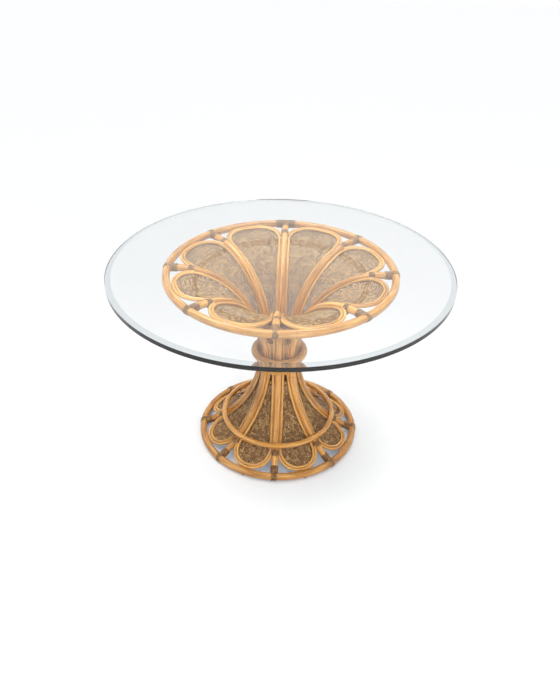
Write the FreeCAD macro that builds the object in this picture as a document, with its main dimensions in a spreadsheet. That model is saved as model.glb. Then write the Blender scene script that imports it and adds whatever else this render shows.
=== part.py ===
import FreeCAD, Part
import math
import os
import Sketcher
from FreeCAD import Placement, Rotation, Vector

# Pedestal table of bent rattan poles: eight ribs run from a base ring through a narrow waist to a
# top ring that carries a round bevelled glass. Loops of thin cane and woven panels fill the flares.

RIB_COUNT = 8
RIB_ANGLE = 360 / RIB_COUNT
UP = Vector(0, 0, 1)
ORIGIN = Vector(0, 0, 0)
SCREW_HOLE = "sizes.screw_diameter / 2 + sizes.wrap_gap"
HOLE_LEAD = 2
WINDING_TOLERANCE = 0.05

# Driving dimensions in millimetres, and slopes in degrees.
SIZES = [
    ("table_height", 750, "floor to the upper face of the glass"),
    ("glass_diameter", 1220, "round glass, a stock size of 48 inches"),
    ("glass_thickness", 19, ""),
    ("bevel_width", 20, "polished bevel round the upper edge of the glass"),
    ("bevel_depth", 2, ""),
    ("bumper_height", 3, "clear pads between the top ring and the glass"),
    ("bumper_diameter", 12, ""),
    ("glide_height", 2.5, "nylon glides under the base ring"),
    ("glide_diameter", 16, ""),
    ("ring_pole", 28, "pole of the top ring and the base ring"),
    ("top_ring_radius", 405, "to the centre of the pole"),
    ("base_ring_radius", 304, "to the centre of the pole"),
    ("rib_pole", 26, ""),
    ("waist_height", 375, "where the ribs stand closest"),
    ("waist_gap", 5, "left between two canes side by side at the waist"),
    ("foot_slope", 20, "of a rib where it meets the base ring"),
    ("rim_run", 36, "straight end of a rib before the top ring"),
    ("petal_cane", 10, "thin cane of the petal loops and of the bows round their tips"),
    ("top_corner_radius", 78, "of a loop beside the top ring, seen from above"),
    ("base_corner_radius", 60, "of a loop beside the base ring, seen from above"),
    ("panel_thickness", 2.5, "woven cane"),
    ("panel_start", 76, "radius where the woven panels begin"),
    ("panel_margin", 3, "woven edge turned out past the middle of the loop"),
    ("hoop_pole", 20, "hoops tied round the outside of the flares"),
    ("top_hoop_radius", 306, ""),
    ("base_hoop_radius", 216.5, ""),
    ("collar_pole", 28, "hoop that clamps the ribs at the waist"),
    ("collar_lift", 3, "of the collar above the middle of the waist"),
    ("winding_cane", 6, "cane wound round the ribs under the collar"),
    ("winding_pitch", 6.6, ""),
    ("winding_turns", 5.5, ""),
    ("block_height", 40, "turned wood block inside the waist"),
    ("screw_diameter", 5, "screws from the ribs into the block"),
    ("screw_length", 42, ""),
    ("strip_thickness", 2, "peel strip wound round the pole joints"),
    ("ring_binding_width", 25, ""),
    ("end_binding_reach", 40, "from the ring centre to the far end of a rib binding"),
    ("parting_binding_lead", 10, "from where a hoop lies on a rib to the binding at the ends of the bows"),
    ("parting_binding_length", 24, ""),
    ("bow_end", 2, "thickness left at the shaved end of a bow"),
    ("fit_gap", 0.3, "between poles that lie against each other"),
    ("wrap_gap", 0.1, "between a pole and the strip wound on it"),
]

doc = FreeCAD.newDocument("pedestal_table")
sheet = doc.addObject("Spreadsheet::Sheet", "sizes")
for row, (alias, number, meaning) in enumerate(SIZES, start=1):
    sheet.set(f"A{row}", alias)
    sheet.set(f"B{row}", str(number))
    sheet.set(f"C{row}", meaning)
    sheet.setAlias(f"B{row}", alias)
doc.recompute()


def size(alias):
    """A driving dimension as a plain number."""
    return float(sheet.get(alias))


rib_radius = size("rib_pole") / 2
ring_radius = size("ring_pole") / 2
cane_radius = size("petal_cane") / 2
hoop_radius = size("hoop_pole") / 2
fit_gap = size("fit_gap")
half_angle = math.radians(RIB_ANGLE / 2)

# A loop leg runs beside its rib, and two legs fill the space between two ribs at the waist.
leg_offset = rib_radius + cane_radius + fit_gap
leg_to_middle = cane_radius + size("waist_gap") / 2
leg_reach = (leg_to_middle + leg_offset * math.cos(half_angle)) / math.sin(half_angle)
waist_radius = math.hypot(leg_reach, leg_offset)

top_ring_height = size("table_height") - size("glass_thickness") - size("bumper_height") - ring_radius
base_ring_height = size("glide_height") + ring_radius
collar_height = size("waist_height") + size("collar_lift")


class Flare:
    """One flare of the pedestal in the plane of radius and height.

    The centre line of a rib leaves the waist upright and bends outwards in two tangent arcs. A point
    on it is named by its slope, the angle between the line and the floor, which falls from 90 degrees
    at the waist to end_slope. side is 1 for the lower flare and -1 for the upper one.
    """

    def __init__(self, side, ring_at, ring_height, end_slope, run):
        self.side = side
        self.ring_at = ring_at
        self.end_slope = math.radians(end_slope)
        self.end_radius = ring_at - run
        self.end_height = ring_height
        start = Vector(waist_radius, 0, size("waist_height"))
        start_way = Vector(0, 0, -side)
        end = Vector(self.end_radius, 0, ring_height)
        end_way = Vector(math.cos(self.end_slope), 0, -side * math.sin(self.end_slope))
        span = end - start
        ways = start_way + end_way
        turn = 2 * (1 - start_way.dot(end_way))
        reach = (math.sqrt(span.dot(ways) ** 2 + turn * span.dot(span)) - span.dot(ways)) / turn
        corner = start + start_way * reach
        joint_way = (end - end_way * reach - corner).normalize()
        joint = corner + joint_way * reach
        self.joint_radius = joint.x
        self.joint_slope = math.asin(abs(joint_way.z))
        waist_bend = reach / math.tan((math.pi / 2 - self.joint_slope) / 2)
        ring_bend = reach / math.tan((self.joint_slope - self.end_slope) / 2)
        waist_centre = Vector(start.x + waist_bend, 0, start.z)
        ring_centre = Vector(
            end.x + ring_bend * math.sin(self.end_slope),
            0,
            end.z + side * ring_bend * math.cos(self.end_slope),
        )
        self.arcs = [(waist_centre, waist_bend), (ring_centre, ring_bend)]

    def arc_point(self, arc, slope, offset):
        """A point of one arc; offset moves it away from the arc's centre."""
        centre, bend = arc
        reach = bend + offset
        return Vector(
            centre.x - reach * math.sin(slope), 0, centre.z - self.side * reach * math.cos(slope)
        )

    def slope_at(self, radius):
        """Slope of the centre line at a radius, up to the end of the arcs."""
        centre, bend = self.arcs[0] if radius < self.joint_radius else self.arcs[1]
        return math.asin(min(1.0, (centre.x - radius) / bend))

    def point_at(self, radius, offset=0.0):
        """Point beside the centre line at a radius; the last run to the ring is straight."""
        if radius > self.end_radius:
            return Vector(radius, 0, self.end_height - self.side * offset)
        arc = self.arcs[0] if radius < self.joint_radius else self.arcs[1]
        return self.arc_point(arc, self.slope_at(radius), offset)

    def line(self, inner, outer, offset=0.0):
        """Edges of the centre line, or of a line beside it, from one radius out to another."""
        stops = [inner]
        for mark in (self.joint_radius, self.end_radius):
            if inner < mark < outer:
                stops.append(mark)
        stops.append(outer)
        edges = []
        for near, far in zip(stops, stops[1:]):
            middle = (near + far) / 2
            first = self.point_at(near, offset)
            last = self.point_at(far, offset)
            if middle > self.end_radius:
                edges.append(Part.LineSegment(first, last).toShape())
                continue
            arc = self.arcs[0] if middle < self.joint_radius else self.arcs[1]
            slope = (self.slope_at(near) + self.slope_at(far)) / 2
            edges.append(Part.Arc(first, self.arc_point(arc, slope, offset), last).toShape())
        return edges


lower = Flare(1, size("base_ring_radius"), base_ring_height, size("foot_slope"), 0)
upper = Flare(-1, size("top_ring_radius"), top_ring_height, 0, size("rim_run"))

# Plan of a petal loop between the rib at angle 0 and the next one. A bow of the same cane lies round
# the tip of the loop, between it and the ring, and ends at the bindings of the two ribs.
tip_gap = ring_radius + cane_radius + fit_gap
bow_gap = 2 * cane_radius + fit_gap


class Petal:
    """Plan outline of a loop: a leg beside each rib, two round corners and a tip along the ring.

    grow is how far the outline lies outside the loop's own centre line.
    """

    def __init__(self, flare, corner_radius, grow=0.0):
        self.flare = flare
        self.side_offset = leg_offset - grow
        self.corner = corner_radius + grow
        self.tip = flare.ring_at - tip_gap * math.cos(flare.end_slope) - bow_gap + grow
        aside = self.side_offset + self.corner
        self.leg_end = math.sqrt((self.tip - self.corner) ** 2 - aside ** 2)
        self.corner_at = Vector(self.leg_end, aside, 0)
        self.corner_angle = math.atan2(aside, self.leg_end)

    def leg_point(self, radius):
        """Point of the leg at a distance from the table's axis."""
        return Vector(math.sqrt(radius ** 2 - self.side_offset ** 2), self.side_offset, 0)

    def corner_point(self, share):
        """Point of the corner arc, from the leg at 0 to the tip at 1."""
        first = -math.pi / 2
        turn = first + share * (self.corner_angle - first)
        return self.corner_at + Vector(math.cos(turn), math.sin(turn), 0) * self.corner

    def tip_point(self, share):
        """Point of the tip arc, from the corner at 0 to the middle of the loop at 1."""
        turn = self.corner_angle + share * (half_angle - self.corner_angle)
        return Vector(math.cos(turn), math.sin(turn), 0) * self.tip

    @staticmethod
    def mirrored(point):
        """The same point on the other half of the loop."""
        turn = 2 * half_angle - math.atan2(point.y, point.x)
        reach = math.hypot(point.x, point.y)
        return Vector(reach * math.cos(turn), reach * math.sin(turn), point.z)

    def lifted(self, point):
        """A plan point set on the flare's surface."""
        return Vector(point.x, point.y, self.flare.point_at(math.hypot(point.x, point.y)).z)

    def outline(self, start):
        """Closed plan wire that begins at a distance from the table's axis."""
        half = [
            (self.leg_point(start), None, self.corner_point(0)),
            (self.corner_point(0), self.corner_point(0.5), self.corner_point(1)),
        ]
        edges = []
        for first, middle, last in half:
            for flip in (lambda point: point, self.mirrored):
                if middle is None:
                    edges.append(Part.LineSegment(flip(first), flip(last)).toShape())
                else:
                    edges.append(Part.Arc(flip(first), flip(middle), flip(last)).toShape())
        corner_end = self.corner_point(1)
        edges.append(Part.Arc(corner_end, self.tip_point(1), self.mirrored(corner_end)).toShape())
        foot = self.leg_point(start)
        edges.append(Part.LineSegment(foot, self.mirrored(foot)).toShape())
        return Part.Wire(Part.__sortEdges__(edges))

    def leg_points(self, start):
        """Points of a leg on the flare, from a distance from the table's axis to the corner."""
        steps = 14
        first_slope = self.flare.slope_at(start)
        last_slope = self.flare.slope_at(math.hypot(self.leg_end, self.side_offset))
        points = []
        for step in range(steps):
            slope = first_slope + (last_slope - first_slope) * step / steps
            arc = self.flare.arcs[0] if slope > self.flare.joint_slope else self.flare.arcs[1]
            on_rib = self.flare.arc_point(arc, slope, 0)
            foot = self.leg_point(on_rib.x)
            points.append(Vector(foot.x, foot.y, on_rib.z))
        return points

    def round_points(self, first_share):
        """Points of a corner from a share of its arc on, and of the tip up to the middle."""
        corner_steps = 8
        tip_steps = 2
        points = []
        for step in range(corner_steps):
            share = first_share + (1 - first_share) * step / corner_steps
            points.append(self.lifted(self.corner_point(share)))
        points += [self.lifted(self.tip_point(step / tip_steps)) for step in range(tip_steps + 1)]
        return points

    def bow_start(self):
        """Share of the corner arc where a bow's end, shaved to fit its rib's binding, is thin."""
        end_edge = rib_radius + size("wrap_gap") + size("strip_thickness") + fit_gap + size("bow_end")
        turn = math.acos((self.corner_at.y - end_edge) / (self.corner - cane_radius))
        return turn / (math.pi / 2 + self.corner_angle)

    def whole(self, half):
        """Centre line of tangent arcs through the points of one half and their mirror image."""
        arc_tolerance = 0.08
        curve = Part.BSplineCurve()
        curve.interpolate(half + [self.mirrored(point) for point in reversed(half[:-1])])
        return Part.Wire([arc.toShape() for arc in curve.toBiArcs(arc_tolerance)])

    def loop_line(self, start):
        """Centre line of a loop whose legs begin at a distance from the table's axis."""
        return self.whole(self.leg_points(start) + self.round_points(0))

    def bow_line(self):
        """Centre line of a bow from binding to binding."""
        return self.whole(self.round_points(self.bow_start()))


nodes = []


def keep(part, label):
    """Give a finished sub-part the label that names its file."""
    part.Label = label
    nodes.append(part)
    return part


def turned(angle):
    """Placement turned about the table's axis."""
    return Placement(ORIGIN, Rotation(UP, angle))


def held(name, shape):
    """A helper shape that no primitive gives, such as the centre line of a pole."""
    helper = doc.addObject("Part::Feature", name)
    helper.Shape = shape
    return helper


def torus(name, radius, tube, height):
    """A round pole bent to a ring; radius and tube are expressions on the sheet."""
    ring = doc.addObject("Part::Torus", name)
    ring.setExpression("Radius1", radius)
    ring.setExpression("Radius2", tube)
    ring.Placement = Placement(Vector(0, 0, height), Rotation())
    return ring


def pole(name, line, tube, angle=0):
    """A round pole along a centre line; tube is an expression for its radius."""
    start = line.Shape.OrderedEdges[0] if line.Shape.ShapeType == "Wire" else line.Shape.Edges[0]
    section = doc.addObject("Part::Circle", f"{name}_section")
    section.setExpression("Radius", tube)
    foot = line.Shape.OrderedVertexes[0].Point
    from_start = foot.isEqual(start.valueAt(start.FirstParameter), 1e-6)
    way = start.tangentAt(start.FirstParameter if from_start else start.LastParameter)
    section.Placement = Placement(foot, Rotation(UP, way))
    sweep = doc.addObject("Part::Sweep", name)
    sweep.Sections = [section]
    sweep.Spine = (line, [f"Edge{count + 1}" for count in range(len(line.Shape.Edges))])
    sweep.Solid = True
    sweep.Frenet = False
    sweep.Placement = turned(angle)
    return sweep


def together(name, parts):
    """Several solids handled as one."""
    group = doc.addObject("Part::Compound", name)
    group.Links = parts
    return group


def cut(name, base, tool, angle=0):
    """What is left of base outside tool, turned about the table's axis."""
    rest = doc.addObject("Part::Cut", name)
    rest.Base = base
    rest.Tool = tool
    rest.Placement = turned(angle)
    return rest


def cut_round(name, base, tool, phase=0):
    """The same cut piece beside every rib, as one group of separate solids."""
    angles = [phase + RIB_ANGLE * count for count in range(RIB_COUNT)]
    return together(name, [cut(f"{name}_{angle:.0f}", base, tool, angle) for angle in angles])


def screw_stock(name, angle=0, hole=False):
    """Straight screw from the outside of a rib towards the table's axis, or the hole for it.

    The hole begins outside the rib, because a cutter that ends on the rib's surface cuts badly.
    """
    lead = HOLE_LEAD if hole else 0
    stock = doc.addObject("Part::Cylinder", name)
    stock.setExpression("Radius", SCREW_HOLE if hole else "sizes.screw_diameter / 2")
    stock.setExpression("Height", f"sizes.screw_length + {lead}")
    foot = Vector(waist_radius + rib_radius + lead, 0, size("waist_height"))
    stock.Placement = turned(angle).multiply(Placement(foot, Rotation(UP, Vector(-1, 0, 0))))
    return stock


def hoop_height(flare, radius):
    """Height of a hoop that lies on the outside of the ribs."""
    centre, bend = flare.arcs[1]
    beside = rib_radius + hoop_radius + fit_gap
    return centre.z - flare.side * math.sqrt((bend - beside) ** 2 - (radius - centre.x) ** 2)


def hoop_contact(flare, radius):
    """Radius at which a hoop lies on the ribs."""
    centre, bend = flare.arcs[1]
    beside = rib_radius + hoop_radius + fit_gap
    return centre.x + (radius - centre.x) * bend / (bend - beside)


def make_glass():
    """Round plate with a polished bevel round its upper edge."""
    body = doc.addObject("PartDesign::Body", "glass")
    sketch = body.newObject("Sketcher::SketchObject", "glass_profile")
    plane = next(item for item in body.Origin.OriginFeatures if item.Role == "XZ_Plane")
    sketch.AttachmentSupport = (plane, [""])
    sketch.MapMode = "FlatFace"
    radius = size("glass_diameter") / 2
    high = size("table_height")
    low = high - size("glass_thickness")
    shoulder = high - size("bevel_depth")
    corners = [
        Vector(0, low, 0),
        Vector(radius, low, 0),
        Vector(radius, shoulder, 0),
        Vector(radius - size("bevel_width"), high, 0),
        Vector(0, high, 0),
    ]
    wide = "sizes.glass_diameter / 2"
    rows = [
        (None, "sizes.table_height - sizes.glass_thickness"),
        (wide, "sizes.table_height - sizes.glass_thickness"),
        (wide, "sizes.table_height - sizes.bevel_depth"),
        (f"{wide} - sizes.bevel_width", "sizes.table_height"),
        (None, "sizes.table_height"),
    ]
    for first, last in zip(corners, corners[1:] + corners[:1]):
        sketch.addGeometry(Part.LineSegment(first, last))
    for line in range(len(corners)):
        following = (line + 1) % len(corners)
        sketch.addConstraint(Sketcher.Constraint("Coincident", line, 2, following, 1))
    for line, (across, along) in enumerate(rows):
        corner = corners[line]
        if across is None:
            sketch.addConstraint(Sketcher.Constraint("PointOnObject", line, 1, -2))
        else:
            bound = sketch.addConstraint(Sketcher.Constraint("DistanceX", -1, 1, line, 1, corner.x))
            sketch.setExpression(f"Constraints[{bound}]", across)
        bound = sketch.addConstraint(Sketcher.Constraint("DistanceY", -1, 1, line, 1, corner.y))
        sketch.setExpression(f"Constraints[{bound}]", along)
    plate = body.newObject("PartDesign::Revolution", "glass_plate")
    plate.Profile = sketch
    plate.ReferenceAxis = (sketch, ["V_Axis"])
    plate.Angle = 360
    body.Tip = plate
    return keep(body, "glass_top")


def pad_stock(name, radius_at, height, diameter, thick):
    """Round stock for a pad or glide on the rib-free side of a ring; arguments are expressions."""
    stock = doc.addObject("Part::Cylinder", name)
    stock.setExpression("Radius", f"{diameter} / 2")
    stock.setExpression("Height", thick)
    stock.setExpression("Placement.Base.x", radius_at)
    stock.setExpression("Placement.Base.z", height)
    return stock


def make_rings():
    """The two bent poles that end the flares, with the pads that they carry and stand on."""
    tube = "sizes.ring_pole / 2"
    top = torus("top_ring_pole", "sizes.top_ring_radius", tube, top_ring_height)
    base = torus("base_ring_pole", "sizes.base_ring_radius", tube, base_ring_height)
    keep(top, "top_ring")
    keep(base, "base_ring")
    under_glass = "sizes.table_height - sizes.glass_thickness"
    crest = "sizes.bumper_height + sizes.ring_pole / 4"
    bumper = pad_stock("bumper_stock", "sizes.top_ring_radius", f"{under_glass} - ({crest})",
                       "sizes.bumper_diameter", crest)
    keep(cut_round("bumpers", bumper, top, RIB_ANGLE / 2), "glass_bumpers")
    glide = pad_stock("glide_stock", "sizes.base_ring_radius", "0", "sizes.glide_diameter",
                      "sizes.glide_height + sizes.ring_pole / 4")
    keep(cut_round("glides", glide, base, RIB_ANGLE / 2), "floor_glides")


def make_hoops():
    """Thinner hoops that lie on the outside of the ribs, between waist and ring."""
    for flare, name in ((upper, "top"), (lower, "base")):
        height = hoop_height(flare, size(f"{name}_hoop_radius"))
        hoop = torus(f"{name}_hoop_pole", f"sizes.{name}_hoop_radius", "sizes.hoop_pole / 2", height)
        keep(hoop, f"{name}_hoop")


def make_ribs():
    """Eight poles from ring to ring, coped to the rings and screwed to the block in the waist."""
    lower_edges = lower.line(waist_radius, lower.ring_at)
    upper_edges = upper.line(waist_radius, upper.ring_at)
    line = held("rib_line", Part.Wire(list(reversed(lower_edges)) + upper_edges))
    stock = pole("rib_stock", line, "sizes.rib_pole / 2")
    seat = "sizes.ring_pole / 2 + sizes.wrap_gap"
    top_seat = torus("top_seat", "sizes.top_ring_radius", seat, top_ring_height)
    base_seat = torus("base_seat", "sizes.base_ring_radius", seat, base_ring_height)
    seats = together("rib_seats", [top_seat, base_seat, screw_stock("screw_hole", hole=True)])
    for count in range(RIB_COUNT):
        keep(cut(f"rib_cut_{count + 1}", stock, seats, RIB_ANGLE * count), f"rib_{count + 1}")
    return line


def make_waist():
    """Block inside the ribs, screws into it, the collar hoop and the cane wound below it."""
    stock = doc.addObject("Part::Cylinder", "block_stock")
    stock.Radius = waist_radius - rib_radius - fit_gap
    stock.setExpression("Height", "sizes.block_height")
    stock.setExpression("Placement.Base.z", "sizes.waist_height - sizes.block_height / 2")
    angles = [RIB_ANGLE * count for count in range(RIB_COUNT)]
    bores = [screw_stock(f"block_bore_{angle:.0f}", angle, hole=True) for angle in angles]
    screws = [screw_stock(f"screw_{angle:.0f}", angle) for angle in angles]
    keep(cut("block", stock, together("block_bores", bores)), "waist_block")
    keep(together("screws", screws), "waist_screws")
    collar = doc.addObject("Part::Torus", "collar_pole")
    collar.Radius1 = waist_radius + rib_radius + fit_gap + size("collar_pole") / 2
    collar.setExpression("Radius2", "sizes.collar_pole / 2")
    collar.setExpression("Placement.Base.z", "sizes.waist_height + sizes.collar_lift")
    keep(collar, "collar_hoop")
    keep(pole("winding", held("winding_line", winding_line()), "sizes.winding_cane / 2"), "waist_winding")


def winding_line():
    """Helix of tangent arcs round the ribs, from just below the collar downwards."""
    turn_steps = 8
    pitch = size("winding_pitch")
    cane = size("winding_cane")
    aside = rib_radius + fit_gap + cane / 2
    collar_radius = size("collar_pole") / 2
    under_collar = math.sqrt((collar_radius + cane / 2 + fit_gap) ** 2 - (collar_radius - cane / 2) ** 2)
    top = collar_height - under_collar
    centre, bend = lower.arcs[0]
    points = []
    for step in range(int(size("winding_turns") * turn_steps) + 1):
        height = top - pitch * step / turn_steps
        radius = centre.x - math.sqrt(bend ** 2 - (centre.z - height) ** 2) + aside
        turn = 2 * math.pi * step / turn_steps
        points.append(Vector(radius * math.cos(turn), radius * math.sin(turn), height))
    least = min(first.distanceToPoint(last) for first, last in zip(points, points[turn_steps:])) - cane
    print(f"waist winding: {size('winding_turns')} turns, least gap {least:.2f} mm between turns")
    curve = Part.BSplineCurve()
    curve.interpolate(points)
    return Part.Wire([arc.toShape() for arc in curve.toBiArcs(WINDING_TOLERANCE)])


def make_petals(rib_line):
    """Loops as a node each, and the bows round the tips of each flare's loops as one group.

    The ends of a bow are shaved to lie against the bindings of the two ribs.
    """
    tube = "sizes.petal_cane / 2"
    bound_rib = "sizes.rib_pole / 2 + sizes.wrap_gap + sizes.strip_thickness + sizes.fit_gap"
    shaving = together("bow_shaving", [
        pole("bow_seat_near", rib_line, bound_rib),
        pole("bow_seat_far", rib_line, bound_rib, RIB_ANGLE),
    ])
    loop_lines = {}
    for flare, name in ((upper, "top"), (lower, "base")):
        corner = size(f"{name}_corner_radius")
        loop_line = held(f"{name}_loop_line", Petal(flare, corner).loop_line(waist_radius))
        for count in range(RIB_COUNT):
            loop = pole(f"{name}_loop_{count + 1}", loop_line, tube, RIB_ANGLE * count)
            keep(loop, f"{name}_petal_{count + 1}")
        bow_line = held(f"{name}_bow_line", Petal(flare, corner, bow_gap).bow_line())
        bow = pole(f"{name}_bow_stock", bow_line, tube)
        keep(cut_round(f"{name}_bows", bow, shaving), f"{name}_tip_bows")
        loop_lines[name] = loop_line
    return loop_lines


def make_panels():
    """Woven panels behind the loops: the flare's surface cut to the plan of its loop."""
    start = size("panel_start")
    near = cane_radius + fit_gap
    far = near + size("panel_thickness")
    margin = size("panel_margin")
    for flare, name in ((upper, "top"), (lower, "base")):
        front = flare.side * near
        back = flare.side * far
        face_edges = flare.line(start, flare.ring_at, front) + flare.line(start, flare.ring_at, back)
        for radius in (start, flare.ring_at):
            ends = flare.point_at(radius, front), flare.point_at(radius, back)
            face_edges.append(Part.LineSegment(*ends).toShape())
        band = held(f"{name}_band", Part.Face(Part.Wire(Part.__sortEdges__(face_edges))))
        sheet_round = doc.addObject("Part::Revolution", f"{name}_sheet")
        sheet_round.Source = band
        sheet_round.Axis = UP
        sheet_round.Base = ORIGIN
        sheet_round.Angle = RIB_ANGLE
        sheet_round.Solid = True
        plan = Petal(flare, size(f"{name}_corner_radius"), margin).outline(start - margin)
        prism = Part.Face(plan).extrude(UP * size("table_height"))
        outline = held(f"{name}_outline", prism)
        for count in range(RIB_COUNT):
            panel = doc.addObject("Part::Common", f"{name}_woven_{count + 1}")
            panel.Base = sheet_round
            panel.Tool = outline
            panel.Placement = turned(RIB_ANGLE * count)
            keep(panel, f"{name}_panel_{count + 1}")


def make_bindings(rib_line, loop_lines):
    """Strips wound round the poles: on the rings at each rib, on the rib ends and where bows end."""
    strip = "sizes.strip_thickness"
    wrapped_rib = pole("wrapped_rib", rib_line, "sizes.rib_pole / 2 + sizes.wrap_gap")
    beside_cane = "sizes.petal_cane / 2 + sizes.wrap_gap"
    wrapped_ring = "sizes.ring_pole / 2 + sizes.wrap_gap"
    over_ring = f"{wrapped_ring} + {strip}"
    reach = size("end_binding_reach")
    lead = size("parting_binding_lead")
    for flare, name in ((upper, "top"), (lower, "base")):
        ring_at = f"sizes.{name}_ring_radius"
        height = flare.end_height
        wrap = torus(f"{name}_wrap", ring_at, over_ring, height)
        width = f"sizes.ring_binding_width / {ring_at} * 180 / pi"
        wrap.setExpression("Angle3", width)
        wrap.Placement.Rotation = Rotation(UP, -math.degrees(size("ring_binding_width") / flare.ring_at) / 2)
        core = torus(f"{name}_wrap_core", ring_at, wrapped_ring, height)
        keep(cut_round(f"{name}_wraps", wrap, together(f"{name}_wrap_tools", [core, wrapped_rib])),
             f"{name}_ring_bindings")
        cover = torus(f"{name}_wrap_cover", ring_at, f"{over_ring} + sizes.wrap_gap", height)
        first = flare.ring_at - reach
        end_line = held(f"{name}_end_line", Part.Wire(flare.line(first, flare.ring_at)))
        end_sleeve = pole(f"{name}_end_sleeve", end_line, f"sizes.rib_pole / 2 + sizes.wrap_gap + {strip}")
        keep(cut_round(f"{name}_ends", end_sleeve, together(f"{name}_end_tools", [cover, wrapped_rib])),
             f"{name}_rib_end_bindings")
        first = hoop_contact(flare, size(f"{name}_hoop_radius")) + lead
        part_line = held(f"{name}_part_line",
                         Part.Wire(flare.line(first, first + size("parting_binding_length"))))
        part_sleeve = pole(f"{name}_part_sleeve", part_line, f"sizes.rib_pole / 2 + sizes.wrap_gap + {strip}")
        part_tools = together(f"{name}_part_tools", [
            wrapped_rib,
            pole(f"{name}_cane_right", loop_lines[name], beside_cane),
            pole(f"{name}_cane_left", loop_lines[name], beside_cane, -RIB_ANGLE),
        ])
        keep(cut_round(f"{name}_partings", part_sleeve, part_tools), f"{name}_parting_bindings")


make_glass()
make_rings()
make_hoops()
rib_line = make_ribs()
make_waist()
petal_lines = make_petals(rib_line)
make_panels()
make_bindings(rib_line, petal_lines)
doc.recompute()

for item in doc.Objects:
    if "Invalid" in item.State or "Error" in item.State:
        raise RuntimeError(f"{item.Label} failed: {item.State}")
for part in nodes:
    if part.Shape.isNull() or not part.Shape.isValid():
        raise RuntimeError(f"{part.Label} has no valid shape")

os.makedirs("parts", exist_ok=True)
for part in nodes:
    part.Shape.exportStep(f"parts/{part.Label}.step")
print(f"{len(nodes)} sub-parts, {sum(len(part.Shape.Solids) for part in nodes)} solids")
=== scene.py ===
import math
import random

import bpy
from mathutils import Matrix, Vector


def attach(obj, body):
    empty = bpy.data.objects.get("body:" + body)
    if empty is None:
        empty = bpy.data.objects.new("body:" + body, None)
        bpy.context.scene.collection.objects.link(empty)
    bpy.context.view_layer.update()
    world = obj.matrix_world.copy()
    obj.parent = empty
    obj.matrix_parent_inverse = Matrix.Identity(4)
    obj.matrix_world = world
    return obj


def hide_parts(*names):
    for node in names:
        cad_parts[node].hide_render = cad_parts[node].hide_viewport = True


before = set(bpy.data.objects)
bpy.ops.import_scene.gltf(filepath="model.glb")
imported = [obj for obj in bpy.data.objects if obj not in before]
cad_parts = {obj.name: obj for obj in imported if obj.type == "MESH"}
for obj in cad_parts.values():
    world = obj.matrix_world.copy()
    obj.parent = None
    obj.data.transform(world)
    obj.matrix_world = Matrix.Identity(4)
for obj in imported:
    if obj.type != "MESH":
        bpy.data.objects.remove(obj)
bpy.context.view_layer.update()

MM = 0.001

# Sizes of the table, in metres, as its solids have them. Poles, canes, rings and hoops are given by their
# radius.
TABLE_HEIGHT = 0.750
GLASS_RADIUS = 0.610
GLASS_THICKNESS = 0.019
BEVEL_WIDTH = 0.020
BEVEL_DEPTH = 0.002
GLASS_ARRIS = 0.0012
BUMPER_HEIGHT = 0.003
GLIDE_HEIGHT = 0.0025
RING_POLE = 0.014
TOP_RING = 0.405
BASE_RING = 0.304
RIB_POLE = 0.013
CANE = 0.005
HOOP_POLE = 0.010
TOP_HOOP = 0.306
BASE_HOOP = 0.2165
COLLAR_POLE = 0.014
COLLAR_HEIGHT = 0.378
WINDING_CANE = 0.003
WINDING_PITCH = 0.0066
WINDING_TURNS = 5.5
WAIST_HEIGHT = 0.375
WAIST_GAP = 0.005
FOOT_SLOPE = math.radians(20)
RIM_RUN = 0.036
TOP_CORNER = 0.078
BASE_CORNER = 0.060
PANEL_START = 0.076
PANEL_MARGIN = 0.003
PANEL_THICKNESS = 0.0025
STRIP_THICKNESS = 0.002
RING_BINDING_WIDTH = 0.025
END_BINDING_REACH = 0.040
PARTING_LEAD = 0.010
PARTING_LENGTH = 0.024
BOW_END = 0.002
FIT_GAP = 0.0003
WRAP_GAP = 0.0001
RIB_COUNT = 8

RIB_ANGLE = 2 * math.pi / RIB_COUNT
HALF_ANGLE = RIB_ANGLE / 2
LEG_OFFSET = RIB_POLE + CANE + FIT_GAP
TIP_GAP = RING_POLE + CANE + FIT_GAP
BOW_GAP = 2 * CANE + FIT_GAP
LEG_REACH = (CANE + WAIST_GAP / 2 + LEG_OFFSET * math.cos(HALF_ANGLE)) / math.sin(HALF_ANGLE)
WAIST = math.hypot(LEG_REACH, LEG_OFFSET)
TOP_RING_HEIGHT = TABLE_HEIGHT - GLASS_THICKNESS - BUMPER_HEIGHT - RING_POLE
BASE_RING_HEIGHT = GLIDE_HEIGHT + RING_POLE


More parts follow.
